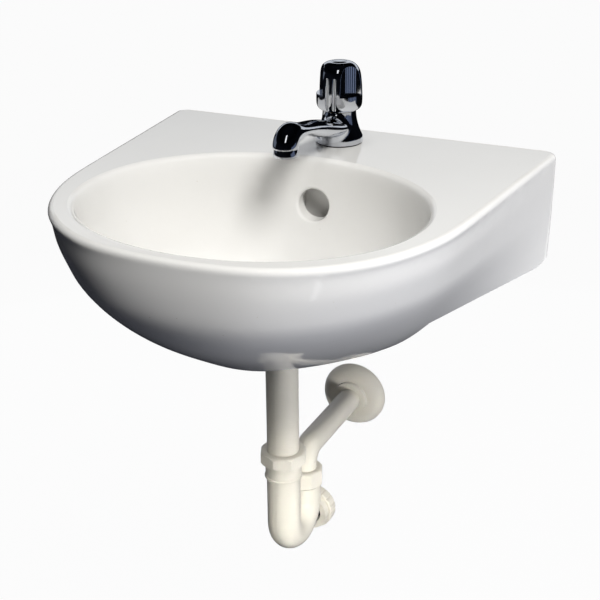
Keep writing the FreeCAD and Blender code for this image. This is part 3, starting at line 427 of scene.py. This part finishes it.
# %% Rubber
rubber, tree = new_finish("moulded_rubber")
place = add(tree, "ShaderNodeTexCoord").outputs["Object"]
bloom = add(tree, "ShaderNodeTexNoise", Vector=place, Scale=per_metre(6), Detail=3.0)
tint = add(tree, "ShaderNodeMix", {"data_type": "RGBA"}, Factor=bloom.outputs["Fac"],
           _6=linear("#191919"), _7=linear("#323130"))
gloss = add(tree, "ShaderNodeMapRange", Value=bloom.outputs["Fac"], To_Min=0.55, To_Max=0.8)
surface(tree, add(tree, "ShaderNodeBsdfPrincipled", Base_Color=tint.outputs[2], Roughness=gloss.outputs[0],
                  IOR=1.52))
print("rubber:", len(tree.nodes), "nodes")

# %% [markdown]
# ## Turned brass
# The parts inside the tap are turned from brass bar. The tool leaves rings round the axis, which stands upright
# in every one of them, so a wave along Z draws them all. Rings cut into the mesh would cost far more and look
# no better.

# %% Brass
# A wave texture at a scale of 1 repeats every tau / 20 metres.
WAVE_REPEAT = math.tau / 20
brass, tree = new_finish("turned_brass")
place = add(tree, "ShaderNodeTexCoord").outputs["Object"]
# Feed marks are about 0.1 mm apart on the real parts, drawn at 0.8 mm so that they show.
cuts = add(tree, "ShaderNodeTexWave", {"bands_direction": "Z"}, Vector=place, Scale=per_metre(0.8) * WAVE_REPEAT,
           Distortion=0.4)
age = add(tree, "ShaderNodeTexNoise", Vector=place, Scale=per_metre(8), Detail=3.0)
tint = add(tree, "ShaderNodeMix", {"data_type": "RGBA"}, Factor=age.outputs["Fac"],
           _6=linear("#cfab63"), _7=linear("#b8934f"))
gloss = add(tree, "ShaderNodeMapRange", Value=cuts.outputs["Fac"], To_Min=0.2, To_Max=0.38)
rings = add(tree, "ShaderNodeBump", Strength=0.15, Distance=0.1 * MM, Height=cuts.outputs["Fac"])
surface(tree, add(tree, "ShaderNodeBsdfPrincipled", Base_Color=tint.outputs[2], Metallic=1.0,
                  Roughness=gloss.outputs[0], Normal=rings.outputs[0]))
print("brass:", len(tree.nodes), "nodes")

# %% [markdown]
# ## Screw steel
# The knob's screw is plain steel that was tumbled in a drum after it was cut. That leaves a soft, uneven grey
# with no direction, so a fine noise in tint and gloss is all it needs.

# %% Steel
steel, tree = new_finish("tumbled_screw_steel")
place = add(tree, "ShaderNodeTexCoord").outputs["Object"]
haze = add(tree, "ShaderNodeTexNoise", Vector=place, Scale=per_metre(1.5), Detail=3.0)
tint = add(tree, "ShaderNodeMix", {"data_type": "RGBA"}, Factor=haze.outputs["Fac"],
           _6=linear("#bcbdc0"), _7=linear("#a6a7aa"))
gloss = add(tree, "ShaderNodeMapRange", Value=haze.outputs["Fac"], To_Min=0.25, To_Max=0.42)
surface(tree, add(tree, "ShaderNodeBsdfPrincipled", Base_Color=tint.outputs[2], Metallic=1.0,
                  Roughness=gloss.outputs[0]))
print("steel:", len(tree.nodes), "nodes")

# %% [markdown]
# ## A finish for every solid
# Each solid names its material slot in the record, so one table from slot to finish dresses them all. Nothing
# is picked by hand, and a solid that is added later gets its finish by the slot it states.

# %% Dress the solids
finishes = {"glazed_china": china, "chrome_plate": chrome, "bare_brass": brass, "screw_steel": steel,
            "trap_plastic": moulding, "nut_plastic": nut_moulding, "insert_plastic": nut_moulding,
            "seal_rubber": rubber}
slots = {part["node"]: part["material_slot"] for part in frame["record"]["subparts"]}
for name, node in nodes.items():
    node.data.materials.clear()
    node.data.materials.append(finishes[slots[name]])
print("finishes:", sorted({m.name for m in finishes.values()}))

# %% [markdown]
# ## Thread on the tap's shank
# Below the deck the tap ends in a threaded shank for its back nut and the supply. Its solid is a plain bar,
# because a thread is costly to cut and nothing is simulated with it. The thread is a ridge wound round that
# bar: a small triangle, spun about the shank's axis while it moves up by one pitch a turn. A screw modifier
# would give the same coil, but a spin keeps the mesh in plain sight and lets the ends run out into the bar, as
# a die leaves them.

# %% Shank thread
PITCH_MM, SHANK_MM, RIDGE_MM, STEPS = 1.814, 10.48, 0.42, 40
# The ridge's foot starts inside the bar and is a share of the pitch wide. Its ends sink just under the bar's face.
FOOT_MM, FOOT_SHARE, SINK_MM, START_MM = 0.3, 0.8, 0.1, 1.0
nut_low, nut_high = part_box("tap_backnut")
axis_y = (nut_low.y + nut_high.y) / 2
start_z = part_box("tap_body")[0].z + START_MM * MM
turns = int((nut_low.z - start_z) / MM / PITCH_MM) - 1

shape = bmesh.new()
foot = PITCH_MM * FOOT_SHARE
profile = ((SHANK_MM - FOOT_MM, 0.0), (SHANK_MM + RIDGE_MM, foot / 2), (SHANK_MM - FOOT_MM, foot))
triangle = shape.faces.new([shape.verts.new((x * MM, axis_y, start_z + z * MM)) for x, z in profile])
bmesh.ops.spin(shape, geom=[triangle], cent=(0, axis_y, 0), axis=(0, 0, 1), dvec=(0, 0, PITCH_MM * MM / STEPS),
               angle=math.tau * turns, steps=STEPS * turns)
end_z = max(v.co.z for v in shape.verts)
for v in shape.verts:
    run_out = min(1.0, (v.co.z - start_z) / (PITCH_MM * MM), (end_z - v.co.z) / (PITCH_MM * MM))
    out = Vector((v.co.x, v.co.y - axis_y, 0))
    if out.length > SHANK_MM * MM:
        v.co -= out.normalized() * (1 - run_out) * (RIDGE_MM + SINK_MM) * MM
bmesh.ops.recalc_face_normals(shape, faces=shape.faces)
thread = new_object("shank_thread", shape, brass)
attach(thread, "basin")
print("thread:", turns, "turns,", len(thread.data.polygons), "faces")

# %% [markdown]
# ## Flared aerator ring
# The ring that holds the aerator in the nozzle is turned, and flares a little towards its lower edge. The flare
# matters to the eye: a straight ring mirrors only the white bowl, a flared one shows the dark room above and
# the bowl in its lower edge. The solid is straight, so its outline is drawn again as a few points and spun once
# round the nozzle, as a lathe would cut it.

# %% Aerator ring
# Radius and height above the lower edge, in mm: bottom, flare, shoulder under the nozzle, thread, bore and lip.
OUTLINE_MM = ((6.9, 0.2), (7.2, 0.0), (11.3, 0.0), (11.75, 0.25), (11.88, 0.8), (11.8, 2.0), (11.5, 4.0),
              (11.08, 6.0), (10.6, 8.0), (9.8, 8.0), (9.8, 11.9), (8.35, 11.9), (8.35, 1.4), (6.9, 1.4))
RING_STEPS, WELD_MM, SHARP_DEGREES = 96, 0.001, 25
ring_low, ring_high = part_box("aerator_ring")
ring_y = (ring_low.y + ring_high.y) / 2
shape = bmesh.new()
points = [shape.verts.new((r * MM, ring_y, ring_low.z + z * MM)) for r, z in OUTLINE_MM]
sides = [shape.edges.new((a, b)) for a, b in zip(points, points[1:] + points[:1])]
bmesh.ops.spin(shape, geom=points + sides, cent=(0, ring_y, 0), axis=(0, 0, 1), angle=math.tau, steps=RING_STEPS,
               use_merge=True)
bmesh.ops.remove_doubles(shape, verts=shape.verts, dist=WELD_MM * MM)
bmesh.ops.recalc_face_normals(shape, faces=shape.faces)
for face in shape.faces:
    face.smooth = True
flared_ring = new_object("flared_aerator_ring", shape, chrome)
flared_ring.data.set_sharp_from_angle(angle=math.radians(SHARP_DEGREES))
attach(flared_ring, "basin")
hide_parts("aerator_ring")
print("aerator ring:", len(flared_ring.data.polygons), "faces")
